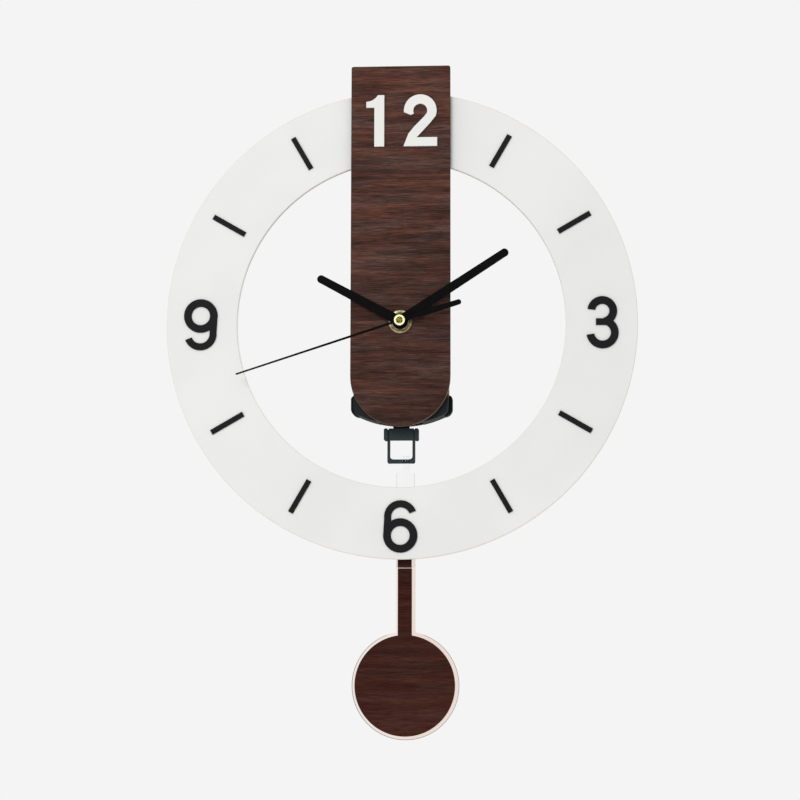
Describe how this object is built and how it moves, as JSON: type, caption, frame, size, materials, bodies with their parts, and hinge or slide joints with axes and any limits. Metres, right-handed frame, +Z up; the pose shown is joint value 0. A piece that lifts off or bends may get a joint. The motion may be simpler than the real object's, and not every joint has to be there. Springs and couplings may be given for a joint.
{
  "type": "pendulum wall clock",
  "caption": "Battery pendulum wall clock: open ring dial on an upright dark wooden panel with numerals, three hands and a hook-on disc pendulum.",
  "frame": {"origin": "on the axis of the hands, in the wall plane, at the flat back of the movement's cover", "axes": "+Z up, +X to the right as seen from the front, +Y into the wall, the dial faces -Y"},
  "size_m": [0.35, 0.039, 0.4996],
  "materials": {
    "board_edge": "raw fibreboard core, matt",
    "veneer_dark": "dark walnut veneer with horizontal grain, satin",
    "tape": "white foam tape",
    "ring_cream": "pale fibreboard edge, matt",
    "ring_grey": "light grey laminate, matt",
    "digit_white": "white moulded plastic, satin",
    "digit_black": "black plastic, satin",
    "case_black": "black moulded ABS, fine texture",
    "gear_white": "natural acetal",
    "brass": "turned brass",
    "brass_bright": "polished pale brass",
    "rubber": "black rubber",
    "hand_black": "matt black lacquer on aluminium",
    "steel": "bright steel",
    "iron": "silicon iron lamination",
    "magnet": "nickel-plated sintered magnet",
    "copper": "enamelled copper wire",
    "pcb": "green solder mask",
    "cell": "plain wrapped zinc-carbon cell",
    "acrylic": "clear acrylic with polished edges",
    "acrylic_pale": "pale clear acrylic with polished edges",
    "bob_veneer": "dark walnut veneer with horizontal grain, satin"
  },
  "bodies": {
    "clock": {"panel_board": "board_edge", "panel_veneer": "veneer_dark", "mounting_tape": "tape", "ring_board": "ring_cream", "ring_face": "ring_grey", "digit_one_of_12": "digit_white", "digit_two_of_12": "digit_white", "numeral_three": "digit_black", "numeral_six": "digit_black", "numeral_nine": "digit_black", "hour_bar_1": "digit_black", "hour_bar_2": "digit_black", "hour_bar_4": "digit_black", "hour_bar_5": "digit_black", "hour_bar_7": "digit_black", "hour_bar_8": "digit_black", "hour_bar_10": "digit_black", "hour_bar_11": "digit_black", "movement_case": "case_black", "movement_cover": "case_black", "train_plate": "gear_white", "threaded_bush": "brass", "rubber_washer": "rubber", "brass_washer": "brass", "fixing_nut": "brass", "stator": "iron", "clock_coil": "copper", "coil_core": "iron", "circuit_board": "pcb", "quartz_crystal": "steel", "battery_spring": "steel", "battery_contact": "steel", "pendulum_coil": "copper", "pendulum_pin": "steel"},
    "second_train": {"second_wheel": "gear_white", "second_hand": "hand_black", "second_hub": "brass_bright"},
    "minute_train": {"minute_arbor": "brass", "minute_hand": "hand_black", "minute_nut": "brass"},
    "hour_train": {"hour_wheel": "gear_white", "hour_hand": "hand_black"},
    "centre_gear": {"centre_wheel": "gear_white"},
    "third_gear": {"third_wheel": "gear_white"},
    "fifth_gear": {"fifth_wheel": "gear_white"},
    "rotor": {"rotor_magnet": "magnet", "rotor_pinion": "gear_white"},
    "motion_gear": {"motion_wheel": "gear_white"},
    "setting_knob": {"set_knob": "gear_white"},
    "battery": {"battery_cell": "cell"},
    "lever": {"pendulum_lever": "case_black", "pendulum_magnet": "magnet"},
    "pendulum_rod": {"upper_strip": "acrylic", "upper_veneer": "bob_veneer", "lower_plate": "acrylic_pale", "lower_veneer": "bob_veneer"}
  },
  "joints": [
    {"name": "second_spin", "type": "hinge", "parent": "clock", "child": "second_train", "pos_m": [0, 0, 0], "axis": [0, 1, 0], "continuous": true},
    {"name": "centre_spin", "type": "hinge", "parent": "clock", "child": "centre_gear", "pos_m": [0, 0, 0], "axis": [0, 1, 0], "continuous": true},
    {"name": "third_spin", "type": "hinge", "parent": "clock", "child": "third_gear", "pos_m": [-0.01224, 0, 0], "axis": [0, 1, 0], "continuous": true},
    {"name": "fifth_spin", "type": "hinge", "parent": "clock", "child": "fifth_gear", "pos_m": [0.00308, 0, 0.01149], "axis": [0, 1, 0], "continuous": true},
    {"name": "rotor_spin", "type": "hinge", "parent": "clock", "child": "rotor", "pos_m": [0.01243, 0, 0.01689], "axis": [0, 1, 0], "continuous": true},
    {"name": "minute_spin", "type": "hinge", "parent": "clock", "child": "minute_train", "pos_m": [0, 0, 0], "axis": [0, 1, 0], "continuous": true},
    {"name": "motion_spin", "type": "hinge", "parent": "clock", "child": "motion_gear", "pos_m": [0.00679, 0, -0.00679], "axis": [0, 1, 0], "continuous": true},
    {"name": "hour_spin", "type": "hinge", "parent": "clock", "child": "hour_train", "pos_m": [0, 0, 0], "axis": [0, 1, 0], "continuous": true},
    {"name": "knob_spin", "type": "hinge", "parent": "clock", "child": "setting_knob", "pos_m": [0.01624, 0, -0.00846], "axis": [0, 1, 0], "continuous": true},
    {"name": "pendulum_swing", "type": "hinge", "parent": "clock", "child": "lever", "pos_m": [0, 0, -0.044], "axis": [0, 1, 0], "range_deg": [-8, 8]},
    {"name": "rod_rock", "type": "hinge", "parent": "lever", "child": "pendulum_rod", "pos_m": [0, -0.0133, -0.1022], "axis": [1, 0, 0], "range_deg": [-2, 2]},
    {"name": "battery_out", "type": "slide", "parent": "clock", "child": "battery", "axis": [0, 1, 0], "range_m": [0, 0.02]}
  ],
  "couplings": [
    {"joint": "fifth_spin", "follows": "second_spin", "ratio": -6},
    {"joint": "rotor_spin", "follows": "second_spin", "ratio": 30},
    {"joint": "third_spin", "follows": "second_spin", "ratio": -0.125},
    {"joint": "centre_spin", "follows": "second_spin", "ratio": 0.016667},
    {"joint": "motion_spin", "follows": "minute_spin", "ratio": -0.33333},
    {"joint": "hour_spin", "follows": "minute_spin", "ratio": 0.083333},
    {"joint": "knob_spin", "follows": "minute_spin", "ratio": 1}
  ]
}
